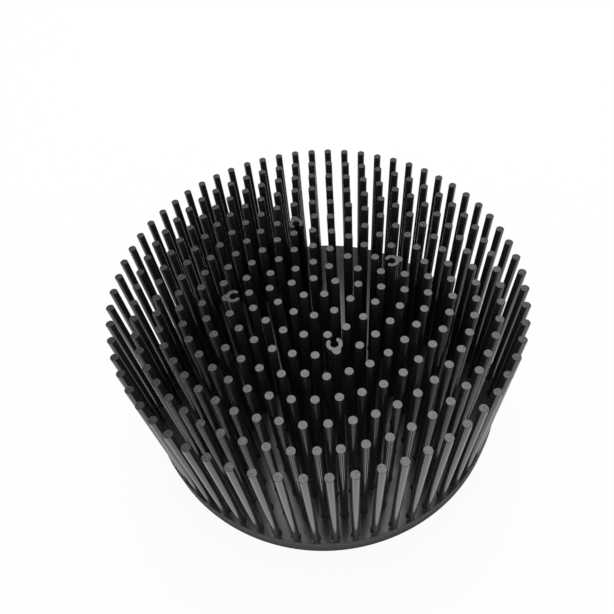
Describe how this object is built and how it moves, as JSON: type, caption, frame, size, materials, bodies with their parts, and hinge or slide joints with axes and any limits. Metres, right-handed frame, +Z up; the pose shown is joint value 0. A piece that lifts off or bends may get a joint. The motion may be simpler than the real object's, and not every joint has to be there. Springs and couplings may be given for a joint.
{
  "type": "pin fin heat sink",
  "caption": "Round pin fin heat sink: a flat disc base carries rings of upright round pins, with open screw ports among them for a bracket over the tips.",
  "frame": {"origin": "centre of the underside of the base plate, the flat face that takes the heat", "axes": "+Z up along the pins; the screw ports stand on the X and Y axes, and the one on +X is midway between two of the lines on which the rings of pins start"},
  "size_m": [0.1334, 0.1334, 0.063],
  "materials": {
    "black_anodising": "black anodised, semi-gloss"
  },
  "bodies": {
    "root": {"heat_sink": "black_anodising"}
  },
  "joints": []
}
